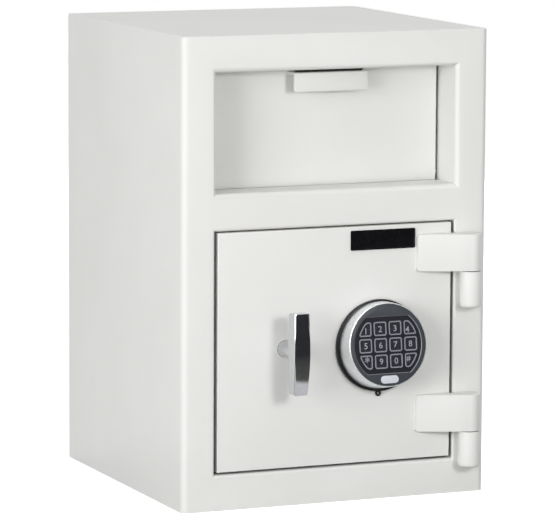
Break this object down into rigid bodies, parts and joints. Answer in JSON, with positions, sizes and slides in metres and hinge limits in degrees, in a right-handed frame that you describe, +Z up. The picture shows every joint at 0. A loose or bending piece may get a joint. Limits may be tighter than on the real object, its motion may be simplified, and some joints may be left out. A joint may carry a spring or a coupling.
{
  "type": "deposit safe",
  "caption": "Front-loading deposit safe with a tilting hopper above a hinged door that carries a lever handle, bolts and a round keypad.",
  "frame": {"origin": "on the floor under the middle of the body", "axes": "front faces -Y, +X to the right seen from the front, +Z up"},
  "size_m": [0.356, 0.404, 0.508],
  "materials": {
    "body_paint": "off-white powder coat with a fine orange peel",
    "hopper_paint": "off-white powder coat",
    "inner_paint": "off-white powder coat",
    "bare_steel": "satin zinc plate",
    "black_screw": "black oxide",
    "brass": "turned",
    "rubber": "matte",
    "plate_black": "gloss black, blank",
    "lever_chrome": "polished",
    "case_zinc": "die cast",
    "ring_black": "moulded",
    "shell_metal": "satin metallic",
    "fascia_grey": "satin charcoal",
    "badge_pale": "blank",
    "board_green": "solder mask",
    "cable_black": "matte",
    "battery_case": "satin, plain",
    "key_dark": "dark caps with pale rims"
  },
  "bodies": {
    "body": {"front_frame": "body_paint", "left_side": "body_paint", "right_side": "body_paint", "back_plate": "body_paint", "top_plate": "body_paint", "floor_plate": "body_paint", "hopper_sides": "hopper_paint", "hopper_ceiling": "hopper_paint", "chute_plate": "hopper_paint", "fishing_baffle": "inner_paint", "door_stops": "inner_paint", "hinge_barrels": "body_paint", "hinge_pins": "bare_steel", "hinge_washers": "brass", "hopper_pivots": "bare_steel", "hopper_bumpers": "rubber"},
    "hopper": {"hopper_panel": "hopper_paint", "hopper_handle": "hopper_paint", "hopper_tray": "inner_paint", "hopper_cheeks": "inner_paint"},
    "door": {"door_plate": "body_paint", "upper_strap": "body_paint", "lower_strap": "body_paint", "name_plate": "plate_black", "hard_plate": "bare_steel", "lever_bush": "brass", "bolt_guide": "bare_steel", "dead_bar": "bare_steel", "inner_cover": "inner_paint", "cover_screws": "bare_steel", "lock_case": "case_zinc", "lock_cover": "case_zinc", "keypad_base": "ring_black", "keypad_housing": "shell_metal", "keypad_fascia": "fascia_grey", "keypad_badge": "badge_pale", "keypad_board": "board_green", "keypad_cable": "cable_black"},
    "lever": {"lever_grip": "lever_chrome", "lever_shaft": "lever_chrome", "lever_cam": "bare_steel", "cam_screw": "black_screw"},
    "bolts": {"bolt_carriage": "bare_steel", "locking_bolts": "bare_steel", "bolt_screws": "black_screw"},
    "lock_bolt": {"swing_bolt": "brass"},
    "drawer": {"battery_drawer": "ring_black", "battery": "battery_case"},
    "key_1": {"key_1": "key_dark"},
    "key_2": {"key_2": "key_dark"},
    "key_3": {"key_3": "key_dark"},
    "key_4": {"key_4": "key_dark"},
    "key_5": {"key_5": "key_dark"},
    "key_6": {"key_6": "key_dark"},
    "key_7": {"key_7": "key_dark"},
    "key_8": {"key_8": "key_dark"},
    "key_star": {"key_star": "key_dark"},
    "key_9": {"key_9": "key_dark"},
    "key_0": {"key_0": "key_dark"},
    "key_hash": {"key_hash": "key_dark"}
  },
  "joints": [
    {"name": "hopper_tilt", "type": "hinge", "parent": "body", "child": "hopper", "pos_m": [0, -0.1255, 0.349], "axis": [1, 0, 0], "range_deg": [0, 50]},
    {"name": "door_swing", "type": "hinge", "parent": "body", "child": "door", "pos_m": [0.1525, -0.192, 0.169], "axis": [0, 0, 1], "range_deg": [0, 110]},
    {"name": "lever_turn", "type": "hinge", "parent": "door", "child": "lever", "pos_m": [-0.0595, -0.178, 0.171], "axis": [0, 1, 0], "range_deg": [0, 90]},
    {"name": "bolt_throw", "type": "slide", "parent": "door", "child": "bolts", "axis": [-1, 0, 0], "range_m": [0, 0.016]},
    {"name": "lock_bolt_swing", "type": "hinge", "parent": "door", "child": "lock_bolt", "pos_m": [-0.01, -0.1498, 0.15], "axis": [0, -1, 0], "range_deg": [0, 50]},
    {"name": "drawer_slide", "type": "slide", "parent": "door", "child": "drawer", "axis": [0, 0, -1], "range_m": [0, 0.056]},
    {"name": "key_1_press", "type": "slide", "parent": "door", "child": "key_1", "axis": [0, 0.9925, -0.1219], "range_m": [0, 0.0012], "stiffness_N_per_m": 450, "springref_m": -0.0012},
    {"name": "key_2_press", "type": "slide", "parent": "door", "child": "key_2", "axis": [0, 0.9925, -0.1219], "range_m": [0, 0.0012], "stiffness_N_per_m": 450, "springref_m": -0.0012},
    {"name": "key_3_press", "type": "slide", "parent": "door", "child": "key_3", "axis": [0, 0.9925, -0.1219], "range_m": [0, 0.0012], "stiffness_N_per_m": 450, "springref_m": -0.0012},
    {"name": "key_4_press", "type": "slide", "parent": "door", "child": "key_4", "axis": [0, 0.9925, -0.1219], "range_m": [0, 0.0012], "stiffness_N_per_m": 450, "springref_m": -0.0012},
    {"name": "key_5_press", "type": "slide", "parent": "door", "child": "key_5", "axis": [0, 0.9925, -0.1219], "range_m": [0, 0.0012], "stiffness_N_per_m": 450, "springref_m": -0.0012},
    {"name": "key_6_press", "type": "slide", "parent": "door", "child": "key_6", "axis": [0, 0.9925, -0.1219], "range_m": [0, 0.0012], "stiffness_N_per_m": 450, "springref_m": -0.0012},
    {"name": "key_7_press", "type": "slide", "parent": "door", "child": "key_7", "axis": [0, 0.9925, -0.1219], "range_m": [0, 0.0012], "stiffness_N_per_m": 450, "springref_m": -0.0012},
    {"name": "key_8_press", "type": "slide", "parent": "door", "child": "key_8", "axis": [0, 0.9925, -0.1219], "range_m": [0, 0.0012], "stiffness_N_per_m": 450, "springref_m": -0.0012},
    {"name": "key_star_press", "type": "slide", "parent": "door", "child": "key_star", "axis": [0, 0.9925, -0.1219], "range_m": [0, 0.0012], "stiffness_N_per_m": 450, "springref_m": -0.0012},
    {"name": "key_9_press", "type": "slide", "parent": "door", "child": "key_9", "axis": [0, 0.9925, -0.1219], "range_m": [0, 0.0012], "stiffness_N_per_m": 450, "springref_m": -0.0012},
    {"name": "key_0_press", "type": "slide", "parent": "door", "child": "key_0", "axis": [0, 0.9925, -0.1219], "range_m": [0, 0.0012], "stiffness_N_per_m": 450, "springref_m": -0.0012},
    {"name": "key_hash_press", "type": "slide", "parent": "door", "child": "key_hash", "axis": [0, 0.9925, -0.1219], "range_m": [0, 0.0012], "stiffness_N_per_m": 450, "springref_m": -0.0012}
  ],
  "couplings": [
    {"joint": "bolt_throw", "follows": "lever_turn", "m_per_rad": 0.010186},
    {"joint": "lock_bolt_swing", "follows": "lever_turn", "ratio": 0.55556}
  ]
}
